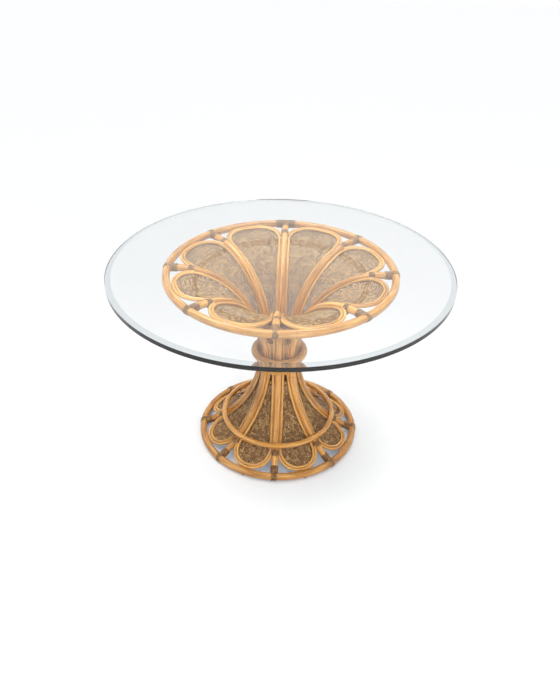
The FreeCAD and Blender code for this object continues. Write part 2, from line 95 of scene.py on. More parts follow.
class Flare:
    """One flare of the pedestal: the centre line of a rib in the plane of radius and height.

    It leaves the waist upright and bends outwards in two tangent arcs. slope is the angle between the
    line and the floor, and side is 1 for the lower flare and -1 for the upper one.
    """

    def __init__(self, side, ring, ring_height, end_slope, run):
        self.side = side
        self.ring = ring
        self.end_slope = end_slope
        self.end = ring - run
        self.end_height = ring_height
        start = Vector((WAIST, WAIST_HEIGHT))
        way = Vector((0, -side))
        end = Vector((self.end, ring_height))
        end_way = Vector((math.cos(end_slope), -side * math.sin(end_slope)))
        span = end - start
        along = span.dot(way + end_way)
        turn = 2 * (1 - way.dot(end_way))
        reach = (math.sqrt(along ** 2 + turn * span.dot(span)) - along) / turn
        corner = start + way * reach
        joint_way = (end - end_way * reach - corner).normalized()
        self.joint = (corner + joint_way * reach).x
        self.joint_slope = math.asin(abs(joint_way.y))
        near = reach / math.tan((math.pi / 2 - self.joint_slope) / 2)
        far = reach / math.tan((self.joint_slope - end_slope) / 2)
        far_centre = end + Vector((math.sin(end_slope), side * math.cos(end_slope))) * far
        self.arcs = [(Vector((start.x + near, start.y)), near), (far_centre, far)]

    def slope(self, radius):
        """Slope of the centre line at a radius."""
        if radius >= self.end:
            return self.end_slope
        centre, bend = self.arcs[0 if radius < self.joint else 1]
        return math.asin(min(1.0, (centre.x - radius) / bend))

    def height(self, radius):
        """Height of the centre line at a radius."""
        if radius >= self.end:
            return self.end_height - self.side * (radius - self.end) * math.tan(self.end_slope)
        centre, bend = self.arcs[0 if radius < self.joint else 1]
        return centre.y - self.side * math.sqrt(max(0.0, bend ** 2 - (centre.x - radius) ** 2))

    def facing(self, radius):
        """Direction, in radius and height, that the flare's seen side faces."""
        slope = self.slope(radius)
        return Vector((self.side * math.sin(slope), math.cos(slope)))

    def radii(self, inner, outer, step):
        """Radii at even steps along the centre line."""
        fine_steps = 40
        least_lean = 0.01
        move = step / fine_steps
        marks = []
        radius = inner
        walked = step
        while radius < outer:
            if walked >= step:
                marks.append(radius)
                walked = 0.0
            radius += move * max(math.cos(self.slope(radius)), least_lean)
            walked += move
        return marks + [outer]


lower = Flare(1, BASE_RING, BASE_RING_HEIGHT, FOOT_SLOPE, 0)
upper = Flare(-1, TOP_RING, TOP_RING_HEIGHT, 0, RIM_RUN)
FLARES = (("top", upper, TOP_CORNER), ("base", lower, BASE_CORNER))


class Petal:
    """Plan outline of a cane loop between the rib at angle 0 and the next one.

    grow is how far the outline lies outside the loop: the bow round the tip lies BOW_GAP outside it.
    """

    def __init__(self, flare, corner, grow=0.0):
        self.flare = flare
        self.offset = LEG_OFFSET - grow
        self.corner = corner + grow
        self.tip = flare.ring - TIP_GAP * math.cos(flare.end_slope) - BOW_GAP + grow
        self.aside = self.offset + self.corner
        self.leg_end = math.sqrt((self.tip - self.corner) ** 2 - self.aside ** 2)
        self.corner_at = math.hypot(self.leg_end, self.aside)
        self.corner_angle = math.atan2(self.aside, self.leg_end)

    def edge_angle(self, radius):
        """Angle from the rib to the outline at a distance from the table's axis."""
        if radius <= math.hypot(self.leg_end, self.offset):
            return math.asin(self.offset / radius)
        share = (radius ** 2 + self.corner_at ** 2 - self.corner ** 2) / (2 * radius * self.corner_at)
        return self.corner_angle - math.acos(min(1.0, share))

    def leg(self, start, step):
        """Plan points of a leg, as (radius, angle), from a distance from the table's axis."""
        radii = self.flare.radii(start, math.hypot(self.leg_end, self.offset), step)
        return [(radius, math.asin(self.offset / radius)) for radius in radii[:-1]]

    def end(self, begin, step):
        """Plan points of the corner, from an angle round it, and of the tip up to its middle."""
        middle = Vector((self.leg_end, self.aside))
        turn = math.pi / 2 + self.corner_angle - begin
        count = max(4, round(self.corner * turn / step))
        points = []
        for index in range(count + 1):
            angle = begin - math.pi / 2 + turn * index / count
            spot = middle + Vector((math.cos(angle), math.sin(angle))) * self.corner
            points.append((spot.length, math.atan2(spot.y, spot.x)))
        arc = HALF_ANGLE - self.corner_angle
        count = max(2, round(self.tip * arc / step))
        tip = [(self.tip, self.corner_angle + arc * index / count) for index in range(1, count + 1)]
        return points + tip

    def bow_start(self):
        """Angle round the corner where a bow's end, which runs into its rib's binding, is hidden."""
        end_edge = RIB_POLE + WRAP_GAP + STRIP_THICKNESS + FIT_GAP + BOW_END
        return math.acos((self.aside - end_edge) / (self.corner - CANE))

    def path(self, half, turn):
        """Centre line on the flare through one half's plan points and their mirror image."""
        whole = half + [(radius, RIB_ANGLE - angle) for radius, angle in reversed(half[:-1])]
        return [polar(radius, angle + turn, self.flare.height(radius)) for radius, angle in whole]


def polar(radius, angle, height):
    """Point at a distance from the table's axis, an angle about it and a height."""
    return Vector((radius * math.cos(angle), radius * math.sin(angle), height))


def colour(code):
    """Linear colour of an sRGB hex value."""
    channels = [int(code[index:index + 2], 16) / 255 for index in (1, 3, 5)]
    return [c / 12.92 if c <= 0.04045 else ((c + 0.055) / 1.055) ** 2.4 for c in channels] + [1.0]


def add(tree, kind, inputs=None, stops=(), **settings):
    """A node with its settings; an input is a value or another node's output to link.

    stops are those of a colour ramp, in order, as (position, sRGB hex).
    """
    node = tree.nodes.new(kind)
    for name, value in settings.items():
        setattr(node, name, value)
    for key, value in (inputs or {}).items():
        socket = node.inputs[key]
        if isinstance(value, bpy.types.NodeSocket):
            tree.links.new(value, socket)
        else:
            socket.default_value = value
    for index, (position, code) in enumerate(stops):
        points = node.color_ramp.elements
        point = points[index] if index < len(points) else points.new(position)
        point.position = position
        point.color = colour(code)
    return node


# Looks of the materials. Lengths are in metres, along and across the straightened pole.

KNOT_SPACING = 0.31
KNOT_RING = 1.8 * MM
KNOT_REACH = 12 * MM
STREAK_LENGTH = 0.11
PATCH_LENGTH = 0.07
PATCH_WIDTH = 0.02
# Every pole is taken as cut from a stock of this length, at a place of its own.
STOCK_LENGTH = 40.0
# Sockets of a node that mixes two colours.
MIX_SHARE, MIX_FIRST, MIX_LAST, MIX_RESULT = 0, 6, 7, 2


def new_material(name):
    """An empty node material and its output."""
    material = bpy.data.materials.new(name)
    material.use_nodes = True
    tree = material.node_tree
    tree.nodes.clear()
    return material, tree, add(tree, "ShaderNodeOutputMaterial")


def grain(tree, length, width, detail):
    """Noise drawn out along the straightened pole; length and width are in metres.

    The stored straight attribute holds the place on the pole before it was bent, in metres, so that
    the grain follows the bend.
    """
    place = add(tree, "ShaderNodeAttribute", attribute_name="straight").outputs["Vector"]
    stretch = (1 / length, 1 / width, 1 / width)
    drawn = add(tree, "ShaderNodeVectorMath", {0: place, 1: stretch}, operation="MULTIPLY")
    noise = add(tree, "ShaderNodeTexNoise", {"Vector": drawn.outputs[0], "Scale": 1.0, "Detail": detail})
    return noise.outputs["Fac"]


def from_knot(tree, along):
    """How far a place along the stock lies from the nearest knot, as a share of the knots' spacing."""
    laps = add(tree, "ShaderNodeMath", {0: along, 1: KNOT_SPACING}, operation="DIVIDE").outputs[0]
    within = add(tree, "ShaderNodeMath", {0: laps}, operation="FRACT").outputs[0]
    aside = add(tree, "ShaderNodeMath", {0: within, 1: 0.5}, operation="SUBTRACT").outputs[0]
    return add(tree, "ShaderNodeMath", {0: aside}, operation="ABSOLUTE").outputs[0]


def rattan(name, light, middle, dark, knot, streak_width, roughness):
    """Lacquered rattan: long grain streaks, slow patches of tone and a dark ring at each knot."""
    material, tree, output = new_material(name)
    streaks = grain(tree, STREAK_LENGTH, streak_width, 3.0)
    patches = grain(tree, PATCH_LENGTH, PATCH_WIDTH, 1.0)
    base = add(tree, "ShaderNodeValToRGB", {"Fac": streaks},
               stops=((0.3, dark), (0.5, middle), (0.72, light))).outputs["Color"]
    own = add(tree, "ShaderNodeAttribute", attribute_name="tone").outputs["Fac"]
    shift = add(tree, "ShaderNodeMath", {0: patches, 1: own}, operation="ADD").outputs[0]
    tone = add(tree, "ShaderNodeValToRGB", {"Fac": shift},
               stops=((0.1, "#7e6854"), (0.4, "#d2c8bc"), (1.0, "#ffffff"))).outputs["Color"]
    base = add(tree, "ShaderNodeMix", {MIX_SHARE: 1.0, MIX_FIRST: base, MIX_LAST: tone},
               data_type="RGBA", blend_type="MULTIPLY").outputs[MIX_RESULT]
    place = add(tree, "ShaderNodeAttribute", attribute_name="straight").outputs["Vector"]
    along = add(tree, "ShaderNodeSeparateXYZ", {0: place}).outputs["X"]
    ring = add(tree, "ShaderNodeMapRange", {
        "Value": from_knot(tree, along),
        "From Min": 0.0,
        "From Max": KNOT_RING / KNOT_SPACING,
        "To Min": 0.5,
        "To Max": 0.0,
    }).outputs[0]
    base = add(tree, "ShaderNodeMix", {MIX_SHARE: ring, MIX_FIRST: base, MIX_LAST: colour(knot)},
               data_type="RGBA").outputs[MIX_RESULT]
    bump = add(tree, "ShaderNodeBump", {"Height": streaks, "Strength": 0.25, "Distance": 0.4 * MM})
    shader = add(tree, "ShaderNodeBsdfPrincipled", {
        "Base Color": base,
        "Roughness": roughness,
        "Normal": bump.outputs[0],
        "Coat Weight": 0.4,
        "Coat Roughness": 0.12,
    })
    tree.links.new(shader.outputs[0], output.inputs["Surface"])
    return material


def split_cane(name, light, middle, dark, speck, roughness, wear_and_highlight=0.0):
    """Split cane of the weave and the bindings: light and dark stretches, speck long, along a strand.

    wear_and_highlight is how much paler a strand is where it lies over another, from wear and painted
    highlight, which the crown attribute says. Where the crown is negative the strand is darker, as
    painted shade.
    """
    material, tree, output = new_material(name)
    streaks = grain(tree, speck, speck / 2, 1.0)
    # Crowns are paler from wear and painted highlight; hollows are darker as painted shade.
    crown = add(tree, "ShaderNodeAttribute", attribute_name="crown").outputs["Fac"]
    crossing_tone = add(tree, "ShaderNodeMath", {0: crown, 1: wear_and_highlight, 2: streaks},
               operation="MULTIPLY_ADD").outputs[0]
    low = 0.36
    high = 0.64 + 0.3 * wear_and_highlight
    base = add(tree, "ShaderNodeValToRGB", {"Fac": crossing_tone},
               stops=((low, dark), (low / 2 + high / 2, middle), (high, light))).outputs["Color"]
    bump = add(tree, "ShaderNodeBump", {"Height": streaks, "Strength": 0.3, "Distance": 0.2 * MM})
    shader = add(tree, "ShaderNodeBsdfPrincipled", {
        "Base Color": base,
        "Roughness": roughness,
        "Specular IOR Level": 0.25,
        "Normal": bump.outputs[0],
    })
    tree.links.new(shader.outputs[0], output.inputs["Surface"])
    return material


def clear(name, tint, ior, depth_colour, density):
    """Clear glass. Its shadow is let through, and its depth takes colour from the light.

    The rim attribute is 0 on the flat faces, 0.5 on the bevel and 1 on the edge.
    """
    material, tree, output = new_material(name)
    # The bevel is greyed as a painted reflection and the edge darkened as painted shade.
    rim = add(tree, "ShaderNodeAttribute", attribute_name="rim").outputs["Fac"]
    base = add(tree, "ShaderNodeValToRGB", {"Fac": rim},
               stops=((0.0, "#ffffff"), (0.5, "#d6dddf"), (1.0, "#8a9a9c"))).outputs["Color"]
    shader = add(tree, "ShaderNodeBsdfPrincipled", {
        "Base Color": base,
        "Roughness": 0.0,
        "IOR": ior,
        "Transmission Weight": 1.0,
    })
    through = add(tree, "ShaderNodeBsdfTransparent", {"Color": colour(tint)})
    shadow = add(tree, "ShaderNodeLightPath").outputs["Is Shadow Ray"]
    mixed = add(tree, "ShaderNodeMixShader", {0: shadow, 1: shader.outputs[0], 2: through.outputs[0]})
    tree.links.new(mixed.outputs[0], output.inputs["Surface"])
    depth = add(tree, "ShaderNodeVolumeAbsorption", {"Color": colour(depth_colour), "Density": density})
    tree.links.new(depth.outputs[0], output.inputs["Volume"])
    return material


def plain(name, first, last, roughness, metallic=0.0, size=0.002, alpha=1.0):
    """Moulded, turned or plated piece with a fine unevenness of tone; size is that of its specks."""
    material, tree, output = new_material(name)
    place = add(tree, "ShaderNodeTexCoord").outputs["Object"]
    specks = add(tree, "ShaderNodeTexNoise", {"Vector": place, "Scale": 1 / size, "Detail": 2.0})
    base = add(tree, "ShaderNodeValToRGB", {"Fac": specks.outputs["Fac"]},
               stops=((0.3, first), (0.7, last))).outputs["Color"]
    shader = add(tree, "ShaderNodeBsdfPrincipled", {
        "Base Color": base,
        "Roughness": roughness,
        "Metallic": metallic,
        "Alpha": alpha,
    })
    tree.links.new(shader.outputs[0], output.inputs["Surface"])
    return material


# Rattan poles with their skin sanded off, stained honey brown and lacquered: satin, with long streaks.
POLE = rattan("lacquered_rattan_pole", "#fbcc82", "#e3a14a", "#995b20", "#5c3616", 2.2 * MM, 0.27)
# Thin canes of the same rattan, a little lighter, with a finer grain.
THIN_CANE = rattan("lacquered_thin_cane", "#fcd18a", "#e6aa52", "#9e6326", "#643c1a", 1.4 * MM, 0.29)
# Peel strip of the bindings: the hard skin of the rattan, stained dark, in close turns.
BINDING = split_cane("stained_peel_strip", "#b48c60", "#906a45", "#69482d", 6 * MM, 0.45)
# Woven split cane: brown, with crowns paler from wear and painted highlight, and hollows darkened as
# painted shade, which make each crossing a speck.
WEAVE = split_cane("woven_split_cane", "#d6b072", "#986a30", "#69461e", 4 * MM, 0.5, wear_and_highlight=0.5)
# Clear float glass: the faint green of its iron turns dark in the long way through the edge. The polished
# bevel is greyed a little as a painted reflection, and the ground edge darkened much more as painted
# shade.
GLASS = clear("clear_float_glass", "#f6fafa", 1.52, "#6f9498", 5.5)
# Clear soft vinyl pads: thin, so they are let show what lies behind without bending it.
PAD = plain("clear_soft_vinyl", "#e2e8e8", "#eef2f2", 0.3, alpha=0.1)
# Moulded nylon, tan like the pole above it.
GLIDE = plain("moulded_nylon", "#7a5836", "#8c6840", 0.5)
# Turned hardwood, bare.
BLOCK = plain("turned_hardwood", "#8a673b", "#a98250", 0.55, size=0.004)
# Zinc plated steel.
SCREW = plain("zinc_plated_steel", "#a9a9a4", "#c4c4be", 0.35, 1.0)


# Node tree that sweeps a rounded section along paths.

def sweep_tree():
    """Tree that turns paths into poles, canes or strips with a swelling at each knot."""
    tree = bpy.data.node_groups.new("bent_pole", "GeometryNodeTree")
    face = tree.interface
    face.new_socket("Geometry", in_out="INPUT", socket_type="NodeSocketGeometry")
    for name, kind in (("Half Width", "NodeSocketFloat"), ("Half Thickness", "NodeSocketFloat"),
                       ("Sides", "NodeSocketInt"), ("Knot Swell", "NodeSocketFloat"),
                       ("Stock Length", "NodeSocketFloat"), ("Finish", "NodeSocketMaterial")):
        face.new_socket(name, in_out="INPUT", socket_type=kind)
    face.new_socket("Geometry", in_out="OUTPUT", socket_type="NodeSocketGeometry")
    given = add(tree, "NodeGroupInput").outputs
    curve = add(tree, "GeometryNodeMeshToCurve", {0: given["Geometry"]}).outputs[0]
    facing = add(tree, "GeometryNodeInputNamedAttribute", {"Name": "facing"},
                 data_type="FLOAT_VECTOR").outputs[0]
    curve = add(tree, "GeometryNodeSetCurveNormal", {"Curve": curve, "Normal": facing},
                mode="FREE").outputs[0]
    length = add(tree, "GeometryNodeSplineParameter").outputs["Length"]
    own = add(tree, "GeometryNodeInputNamedAttribute", {"Name": "tone"}, data_type="FLOAT").outputs[0]
    along = add(tree, "ShaderNodeMath", {0: own, 1: given["Stock Length"], 2: length},
                operation="MULTIPLY_ADD").outputs[0]
    spine = add(tree, "GeometryNodeCaptureAttribute")
    spine.capture_items.new("FLOAT", "along")
    tree.links.new(curve, spine.inputs[0])
    tree.links.new(along, spine.inputs[1])
    rise = add(tree, "ShaderNodeMapRange", {
        "Value": from_knot(tree, along),
        "From Min": 0.0,
        "From Max": KNOT_REACH / KNOT_SPACING,
        "To Min": 1.0,
        "To Max": 0.0,
    }, interpolation_type="SMOOTHSTEP").outputs[0]
    swell = add(tree, "ShaderNodeMath", {0: rise, 1: given["Knot Swell"], 2: 1.0},
                operation="MULTIPLY_ADD").outputs[0]
    sized = add(tree, "GeometryNodeSetCurveRadius", {"Curve": spine.outputs[0], "Radius": swell})
    circle = add(tree, "GeometryNodeCurvePrimitiveCircle", {"Resolution": given["Sides"], "Radius": 1.0})
    half = add(tree, "ShaderNodeCombineXYZ", {0: given["Half Thickness"], 1: given["Half Width"], 2: 1.0})
    flat = add(tree, "GeometryNodeTransform", {"Geometry": circle.outputs[0], "Scale": half.outputs[0]})
    section = add(tree, "GeometryNodeCaptureAttribute")
    section.capture_items.new("VECTOR", "across")
    tree.links.new(flat.outputs[0], section.inputs[0])
    tree.links.new(add(tree, "GeometryNodeInputPosition").outputs[0], section.inputs[1])
    solid = add(tree, "GeometryNodeCurveToMesh", {
        "Curve": sized.outputs[0],
        "Profile Curve": section.outputs[0],
        "Fill Caps": True,
    }).outputs[0]
    across = add(tree, "ShaderNodeSeparateXYZ", {0: section.outputs[1]}).outputs
    place = {0: spine.outputs[1], 1: across[0], 2: across[1]}
    straight = add(tree, "ShaderNodeCombineXYZ", place).outputs[0]
    stored = add(tree, "GeometryNodeStoreNamedAttribute", {0: solid, "Name": "straight"},
                 data_type="FLOAT_VECTOR", domain="POINT")
    tree.links.new(straight, stored.inputs["Value"])
    smooth = add(tree, "GeometryNodeSetShadeSmooth", {0: stored.outputs[0]}).outputs[0]
    real = add(tree, "GeometryNodeRealizeInstances", {0: smooth}).outputs[0]
    done = add(tree, "GeometryNodeSetMaterial", {0: real, "Material": given["Finish"]}).outputs[0]
    add(tree, "NodeGroupOutput", {0: done})
    return tree


chance = random.Random(7)
SWEEP = sweep_tree()
IDENTIFIERS = {item.name: item.identifier for item in SWEEP.interface.items_tree
               if item.in_out == "INPUT"}


def new_piece(name, mesh):
    """An object of the scene for a mesh."""
    piece = bpy.data.objects.new(name, mesh)
    bpy.context.scene.collection.objects.link(piece)
    return piece


def sweep(name, paths, finish, half_width, half_thickness=None, sides=16, swell=0.0, closed=False,
          painted_shade=0.0):
    """Poles or strips along paths, which are lists of points, or of (point, facing, crown) for a strip.

    Every path has a tone of its own, which also says from where in a long stock it was cut. crown says
    how much paler a strip is where it lies over another, from wear and painted highlight, from 0 to 1,
    and is negative, as painted shade, where it lies under it.
    painted_shade darkens the tones, a painted shade.
    """
    points = []
    facings = []
    crowns = []
    tones = []
    edges = []
    for path in paths:
        first = len(points)
        # painted_shade lowers the tone, which darkens the pole as painted shade.
        tone = chance.random() * (1 - painted_shade) - painted_shade
        for item in path:
            point, facing, crown = item if isinstance(item, tuple) else (item, None, 0.0)
            points.append(point)
            facings.append(facing)
            crowns.append(crown)
            tones.append(tone)
        count = len(points) - first
        edges += [(first + index, first + index + 1) for index in range(count - 1)]
        if closed:
            edges.append((first + count - 1, first))
    if facings[0] is None:
        facings = steady_facings(points, paths, closed)
    wire = bpy.data.meshes.new(f"{name}_path")
    wire.from_pydata(points, edges, [])
    normals = wire.attributes.new("facing", "FLOAT_VECTOR", "POINT")
    normals.data.foreach_set("vector", [value for facing in facings for value in facing])
    wire.attributes.new("tone", "FLOAT", "POINT").data.foreach_set("value", tones)
    wire.attributes.new("crown", "FLOAT", "POINT").data.foreach_set("value", crowns)
    carrier = new_piece(f"{name}_path", wire)
    modifier = carrier.modifiers.new("sweep", "NODES")
    modifier.node_group = SWEEP
    values = {
        "Half Width": half_width,
        "Half Thickness": half_width if half_thickness is None else half_thickness,
        "Sides": sides,
        "Knot Swell": swell,
        "Stock Length": STOCK_LENGTH,
        "Finish": finish,
    }
    for key, value in values.items():
        modifier[IDENTIFIERS[key]] = value
    graph = bpy.context.evaluated_depsgraph_get()
    mesh = bpy.data.meshes.new_from_object(carrier.evaluated_get(graph))
    mesh.name = name
    bpy.data.objects.remove(carrier)
    bpy.data.meshes.remove(wire)
    return new_piece(name, mesh)


def steady_facings(points, paths, closed):
    """A direction square to each path that doesn't turn about it."""
    nearly_upright = 0.1
    facings = []
    first = 0
    for path in paths:
        spots = points[first:first + len(path)]
        first += len(path)
        facing = None
        for index, spot in enumerate(spots):
            before = spots[index - 1] if index or closed else spot
            after = spots[(index + 1) % len(spots)] if index + 1 < len(spots) or closed else spot
            way = (after - before).normalized()
            if facing is None:
                facing = way.cross(Vector((0, 0, 1)))
                if facing.length < nearly_upright:
                    facing = way.cross(Vector((spot.x, spot.y, 0)))
            facing = (facing - way * facing.dot(way)).normalized()
            facings.append(facing)
    return facings


def kept(piece, node):
    """The piece stands for a node of the pedestal and moves with it."""
    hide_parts(node)
    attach(piece, "pedestal")


def circle_path(radius, height, count, turn=0.0):
    """Points of a ring about the table's axis."""
    return [polar(radius, turn + 2 * math.pi * index / count, height) for index in range(count)]


def hoop_height(flare, radius):
    """Height of a hoop that lies on the outside of the ribs."""
    centre, bend = flare.arcs[1]
    beside = RIB_POLE + HOOP_POLE + FIT_GAP
    return centre.y - flare.side * math.sqrt((bend - beside) ** 2 - (radius - centre.x) ** 2)


def beside_waist(height, aside):
    """Radius, near the waist, of what lies round the outside of the ribs."""
    centre, bend = (lower if height < WAIST_HEIGHT else upper).arcs[0]
    return centre.x - math.sqrt((bend - aside) ** 2 - (height - centre.y) ** 2)


# How finely poles and canes are drawn, and how much thicker they are at a knot.
POLE_STEP = 0.014
POLE_SIDES = 20
CANE_STEP = 0.009
CANE_SIDES = 14
WINDING_SIDES = 10
STRIP_SIDES = 8
RIB_SWELL = 0.015
SWELL = 0.012
# The upper hoop's tones are darkened as painted shade, so that it shows as a dark band through the weave.
TOP_HOOP_PAINTED_SHADE = 0.6


def make_rings():
    """The bent poles that go right round the pedestal."""
    collar = beside_waist(COLLAR_HEIGHT, RIB_POLE + FIT_GAP + COLLAR_POLE)
    rings = (
        ("top_ring", TOP_RING, TOP_RING_HEIGHT, RING_POLE),
        ("base_ring", BASE_RING, BASE_RING_HEIGHT, RING_POLE),
        ("top_hoop", TOP_HOOP, hoop_height(upper, TOP_HOOP), HOOP_POLE),
        ("base_hoop", BASE_HOOP, hoop_height(lower, BASE_HOOP), HOOP_POLE),
        ("collar_hoop", collar, COLLAR_HEIGHT, COLLAR_POLE),
    )
    for node, radius, height, pole in rings:
        count = round(2 * math.pi * radius / POLE_STEP)
        path = circle_path(radius, height, count, chance.uniform(0, RIB_ANGLE))
        # The upper hoop is darkened as painted shade.
        painted_shade = TOP_HOOP_PAINTED_SHADE if node == "top_hoop" else 0.0
        piece = sweep(f"{node}_pole", [path], POLE, pole, sides=POLE_SIDES, swell=SWELL, closed=True,
                      painted_shade=painted_shade)
        kept(piece, node)


def make_ribs():
    """Eight poles from the base ring through the waist to the top ring."""
    seat_depth = 0.004
    short = RING_POLE - seat_depth
    down = [(radius, lower.height(radius)) for radius in lower.radii(WAIST, BASE_RING - short, POLE_STEP)]
    up = [(radius, upper.height(radius)) for radius in upper.radii(WAIST, TOP_RING - short, POLE_STEP)]
    line = list(reversed(down)) + up[1:]
    for count in range(RIB_COUNT):
        path = [polar(radius, RIB_ANGLE * count, height) for radius, height in line]
        piece = sweep(f"rib_{count + 1}_pole", [path], POLE, RIB_POLE, sides=POLE_SIDES, swell=RIB_SWELL)
        kept(piece, f"rib_{count + 1}")


def make_loops():
    """Cane loops between the ribs as a piece each, and the bows round their tips as one piece a flare."""
    for name, flare, corner in FLARES:
        loop = Petal(flare, corner)
        bow = Petal(flare, corner, BOW_GAP)
        bows = []
        for count in range(RIB_COUNT):
            turn = RIB_ANGLE * count
            path = loop.path(loop.leg(WAIST, CANE_STEP) + loop.end(0, CANE_STEP), turn)
            node = f"{name}_petal_{count + 1}"
            piece = sweep(f"{node}_cane", [path], THIN_CANE, CANE, sides=CANE_SIDES, swell=SWELL)
            kept(piece, node)
            bows.append(bow.path(bow.end(bow.bow_start(), CANE_STEP), turn))
        piece = sweep(f"{name}_tip_bow_canes", bows, THIN_CANE, CANE, sides=CANE_SIDES)
        kept(piece, f"{name}_tip_bows")


def make_winding():
    """Thin cane wound round the ribs under the collar."""
    turn_steps = 40
    under = math.sqrt((COLLAR_POLE + WINDING_CANE + FIT_GAP) ** 2 - (COLLAR_POLE - WINDING_CANE) ** 2)
    path = []
    for step in range(int(WINDING_TURNS * turn_steps) + 1):
        height = COLLAR_HEIGHT - under - WINDING_PITCH * step / turn_steps
        radius = beside_waist(height, RIB_POLE + FIT_GAP + WINDING_CANE)
        path.append(polar(radius, 2 * math.pi * step / turn_steps, height))
    piece = sweep("waist_winding_cane", [path], THIN_CANE, WINDING_CANE, sides=WINDING_SIDES)
    kept(piece, "waist_winding")


# Woven panels: split cane over and under, warp along the petal and weft across it.

# The pitch is that of the specks in the photograph, which may show a finer weave as coarser. So the real
# weave may be finer than this.
WEAVE_PITCH = 8.5 * MM
STRAND_HALF_WIDTH = 2.9 * MM
STRAND_HALF_THICKNESS = 0.45 * MM
WEAVE_RISE = 0.45 * MM
# A crown's paleness, from wear and painted highlight, is a chance from 0 to 1 raised to this power, so
# that few are much paler. A hollow is darker than the plain cane, as painted shade.
CROWN_POWER = 1.5
HOLLOW_SHADE = -0.5


def weave_paths(flare, corner):
    """Strand paths of one panel about the plane between two ribs, as lists of (point, facing, crown)."""
    outline = Petal(flare, corner, PANEL_MARGIN)
    behind = CANE + FIT_GAP + PANEL_THICKNESS / 2
    rows = flare.radii(PANEL_START, outline.tip, WEAVE_PITCH)
    spots = {}
    for row, radius in enumerate(rows):
        room = radius * math.sin(HALF_ANGLE - outline.edge_angle(radius))
        reach = int(room / WEAVE_PITCH)
        facing = flare.facing(radius)
        height = flare.height(radius)
        for column in range(-reach, reach + 1):
            angle = math.asin(column * WEAVE_PITCH / radius)
            outward = polar(1, angle, 0)
            normal = outward * facing.x + Vector((0, 0, facing.y))
            point = polar(radius, angle, height) - normal * behind
            spots[row, column] = point, normal

    def lifted(row, column, sign):
        """Place of a strand at a crossing; sign is 1 for the weft and -1 for the warp."""
        point, normal = spots[row, column]
        over = sign if (row + column) % 2 else -sign
        # A crown gets a paler tone from wear and painted highlight; a hollow gets painted shade.
        crossing_tone = chance.random() ** CROWN_POWER if over > 0 else HOLLOW_SHADE
        return point + normal * over * WEAVE_RISE, normal, crossing_tone

    columns = sorted({column for row, column in spots})
    paths = []
    for row in range(len(rows)):
        across = [column for column in columns if (row, column) in spots]
        paths.append([lifted(row, column, 1) for column in across])
    for column in columns:
        down = [row for row in range(len(rows)) if (row, column) in spots]
        paths.append([lifted(row, column, -1) for row in down])
    return [path for path in paths if len(path) > 1]


def make_panels():
    """One woven panel for each space between ribs, in both flares."""
    for name, flare, corner in FLARES:
        paths = weave_paths(flare, corner)
        pattern = sweep(f"{name}_weave", paths, WEAVE, STRAND_HALF_WIDTH, STRAND_HALF_THICKNESS,
                        sides=STRIP_SIDES)
        for count in range(RIB_COUNT):
            mesh = pattern.data.copy()
            mesh.transform(Matrix.Rotation(RIB_ANGLE * count + HALF_ANGLE, 4, "Z"))
            node = f"{name}_panel_{count + 1}"
            kept(new_piece(f"{node}_weave", mesh), node)
        bpy.data.objects.remove(pattern)


# Bindings: a flat strip wound in close turns round the poles.

STRIP_HALF_WIDTH = 2.5 * MM
STRIP_PITCH = 5.2 * MM
# The photograph shows a longer binding at the back of the top ring, where the pole's ends meet.
SPLICE_BINDING_WIDTH = 0.080
SPLICE_RIB = 2
# A binding's first turn starts at an angle between 0 and this, in radians.
LAST_START = 6


def wound(spine, pole, start_angle):
    """Strip wound about a pole along its centre line; the turns fill the spine's length."""
    length = sum((last - first).length for first, last in zip(spine, spine[1:]))
    turn_steps = 18
    usable = length - 2 * STRIP_HALF_WIDTH
    count = round(usable / STRIP_PITCH * turn_steps)
    path = []
    for step in range(count + 1):
        share = (STRIP_HALF_WIDTH + usable * step / count) / length * (len(spine) - 1)
        index = min(int(share), len(spine) - 2)
        first, last = spine[index], spine[index + 1]
        centre = first.lerp(last, share - index)
        along = (last - first).normalized()
        side = along.cross(Vector((0, 0, 1))).normalized()
        rise = side.cross(along)
        angle = start_angle + 2 * math.pi * step / turn_steps
        outward = side * math.cos(angle) + rise * math.sin(angle)
        path.append((centre + outward * (pole + STRIP_THICKNESS / 2), outward, 0.0))
    return path


def make_bindings():
    """Bindings on the rings at each rib, on the rib ends and where the loops part from the rib."""
    steps = 8
    into_ring = 0.006
    for name, flare, hoop in (("top", upper, TOP_HOOP), ("base", lower, BASE_HOOP)):
        centre, bend = flare.arcs[1]
        contact = centre.x + (hoop - centre.x) * bend / (bend - (RIB_POLE + HOOP_POLE + FIT_GAP))
        parting = contact + PARTING_LEAD
        stretches = {
            "rib_end": (flare.ring - END_BINDING_REACH, flare.ring - into_ring),
            "parting": (parting, parting + PARTING_LENGTH),
        }
        ring_paths = []
        rib_paths = {key: [] for key in stretches}
        for count in range(RIB_COUNT):
            turn = RIB_ANGLE * count
            spliced = name == "top" and count == SPLICE_RIB
            half = (SPLICE_BINDING_WIDTH if spliced else RING_BINDING_WIDTH) / flare.ring / 2
            spine = [polar(flare.ring, turn - half + 2 * half * index / steps, flare.end_height)
                     for index in range(steps + 1)]
            ring_paths.append(wound(spine, RING_POLE, chance.uniform(0, LAST_START)))
            for key, (inner, outer) in stretches.items():
                radii = [inner + (outer - inner) * index / steps for index in range(steps + 1)]
                spine = [polar(radius, turn, flare.height(radius)) for radius in radii]
                rib_paths[key].append(wound(spine, RIB_POLE, chance.uniform(0, LAST_START)))
        groups = {f"{name}_ring_bindings": ring_paths}
        for key, paths in rib_paths.items():
            groups[f"{name}_{key}_bindings"] = paths
        for node, paths in groups.items():
            piece = sweep(f"{node}_strips", paths, BINDING, STRIP_HALF_WIDTH, STRIP_THICKNESS / 2,
                          sides=STRIP_SIDES)
            kept(piece, node)


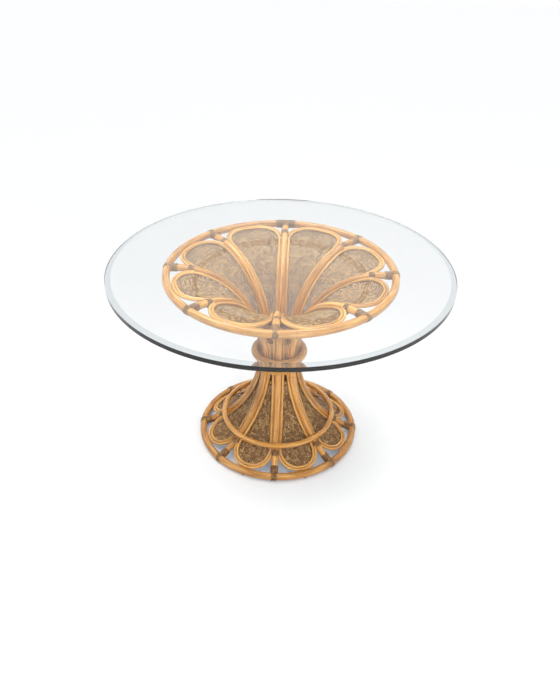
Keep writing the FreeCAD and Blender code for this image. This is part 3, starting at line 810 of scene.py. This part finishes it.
def make_glass():
    """Round glass with a polished bevel and fine arrises, turned from its section."""
    low = TABLE_HEIGHT - GLASS_THICKNESS
    shoulder = TABLE_HEIGHT - BEVEL_DEPTH
    section = [
        (GLASS_RADIUS - GLASS_ARRIS, low),
        (GLASS_RADIUS, low + GLASS_ARRIS),
        (GLASS_RADIUS, shoulder),
        (GLASS_RADIUS - BEVEL_WIDTH, TABLE_HEIGHT),
    ]
    segments = 240
    points = [polar(radius, 2 * math.pi * index / segments, height)
              for radius, height in section for index in range(segments)]
    faces = []
    for level in range(len(section) - 1):
        for index in range(segments):
            following = (index + 1) % segments
            corners = (index, following, segments + following, segments + index)
            faces.append(tuple(level * segments + corner for corner in corners))
    faces.append(tuple(reversed(range(segments))))
    faces.append(tuple((len(section) - 1) * segments + index for index in range(segments)))
    mesh = bpy.data.meshes.new("bevelled_glass")
    mesh.from_pydata(points, [], faces)
    mesh.polygons.foreach_set("use_smooth", [True] * len(faces))
    # Below the bevel's slope of about 6 degrees, or the flat top would be shaded like a lens.
    mesh.set_sharp_from_angle(angle=math.radians(3))
    mesh.materials.append(GLASS)
    arris, edge, bevel, flat = 1.0, 1.0, 0.5, 0.0
    marks = [mark for mark in (arris, edge, bevel) for index in range(segments)] + [flat, flat]
    mesh.attributes.new("rim", "FLOAT", "FACE").data.foreach_set("value", marks)
    piece = new_piece("bevelled_glass", mesh)
    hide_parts("glass_top")
    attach(piece, "glass")


def finish_small_parts():
    """Materials of the pieces that keep their solids."""
    finishes = {"glass_bumpers": PAD, "floor_glides": GLIDE, "waist_block": BLOCK, "waist_screws": SCREW}
    for node, material in finishes.items():
        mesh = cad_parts[node].data
        mesh.materials.clear()
        mesh.materials.append(material)


# The floor's own light as seen, and the world's light on the table beside its white as seen.
FLOOR_GLOW = 0.23
WORLD_LIGHT = 0.22
LAMP_AIM = Vector((0, 0, 0.4))


def seen_ray(tree):
    """1 for a ray that brings a picture: straight, through glass or mirrored."""
    path = add(tree, "ShaderNodeLightPath").outputs
    direct = add(tree, "ShaderNodeMath", {0: path["Is Camera Ray"], 1: path["Is Transmission Ray"]},
                 operation="MAXIMUM").outputs[0]
    return add(tree, "ShaderNodeMath", {0: direct, 1: path["Is Glossy Ray"]},
               operation="MAXIMUM").outputs[0]


def make_stage():
    """White floor that keeps the table's shadow, a white world and soft studio light."""
    reach = 12
    mesh = bpy.data.meshes.new("studio_floor")
    corners = [(-reach, -reach, 0), (reach, -reach, 0), (reach, reach, 0), (-reach, reach, 0)]
    mesh.from_pydata(corners, [], [(0, 1, 2, 3)])
    material, tree, output = new_material("white_studio_floor")
    paint = add(tree, "ShaderNodeBsdfDiffuse", {"Color": colour("#e6e2de")})
    strength = add(tree, "ShaderNodeMath", {0: seen_ray(tree), 1: FLOOR_GLOW},
                   operation="MULTIPLY").outputs[0]
    glow = add(tree, "ShaderNodeEmission", {"Color": colour("#cde6ff"), "Strength": strength})
    both = add(tree, "ShaderNodeAddShader", {0: paint.outputs[0], 1: glow.outputs[0]})
    tree.links.new(both.outputs[0], output.inputs["Surface"])
    mesh.materials.append(material)
    new_piece("studio_floor", mesh)

    world = bpy.data.worlds.new("studio_world")
    bpy.context.scene.world = world
    world.use_nodes = True
    tree = world.node_tree
    tree.nodes.clear()
    strength = add(tree, "ShaderNodeMapRange", {
        "Value": seen_ray(tree),
        "To Min": WORLD_LIGHT,
        "To Max": 1.0,
    }).outputs[0]
    sky = add(tree, "ShaderNodeBackground", {"Color": colour("#ffffff"), "Strength": strength})
    out = add(tree, "ShaderNodeOutputWorld")
    tree.links.new(sky.outputs[0], out.inputs["Surface"])

    sun = bpy.data.lights.new("overhead_light", "SUN")
    sun.energy = 2.7
    sun.angle = math.radians(60)
    softbox = bpy.data.lights.new("front_softbox", "AREA")
    softbox.energy = 44
    softbox.size = 1.6
    for light, place in ((sun, (-0.4, 0.5, 3.2)), (softbox, (1.3, -2.8, 1.5))):
        lamp = bpy.data.objects.new(light.name, light)
        lamp.location = place
        lamp.visible_glossy = False
        lamp.rotation_euler = (LAMP_AIM - Vector(place)).to_track_quat("-Z", "Y").to_euler()
        bpy.context.scene.collection.objects.link(lamp)


def make_camera():
    """Camera at the photograph's place, fitted to the glass, the rings and the ribs."""
    turn = math.radians(2.0)
    elevation = math.radians(34.58)
    distance = 2.6342
    roll = math.radians(1.257)
    aim = Matrix.Rotation(turn, 3, "Z") @ Vector((0.0025, 0, 0.3874))
    back = Vector((0, -math.cos(elevation), math.sin(elevation)))
    back = Matrix.Rotation(turn, 3, "Z") @ back
    right = Vector((0, 0, 1)).cross(back).normalized()
    rise = back.cross(right)
    turned_right = right * math.cos(roll) + rise * math.sin(roll)
    turned_rise = rise * math.cos(roll) - right * math.sin(roll)
    lens = bpy.data.cameras.new("photo_camera")
    lens.lens = 35.40
    lens.sensor_width = 36
    camera = bpy.data.objects.new("photo_camera", lens)
    place = aim + back * distance
    axes = Matrix((turned_right, turned_rise, back)).transposed().to_4x4()
    camera.matrix_world = Matrix.Translation(place) @ axes
    bpy.context.scene.collection.objects.link(camera)
    bpy.context.scene.camera = camera


make_rings()
make_ribs()
make_loops()
make_winding()
make_panels()
make_bindings()
make_glass()
finish_small_parts()
make_stage()
make_camera()
bpy.context.scene.view_settings.view_transform = "Standard"
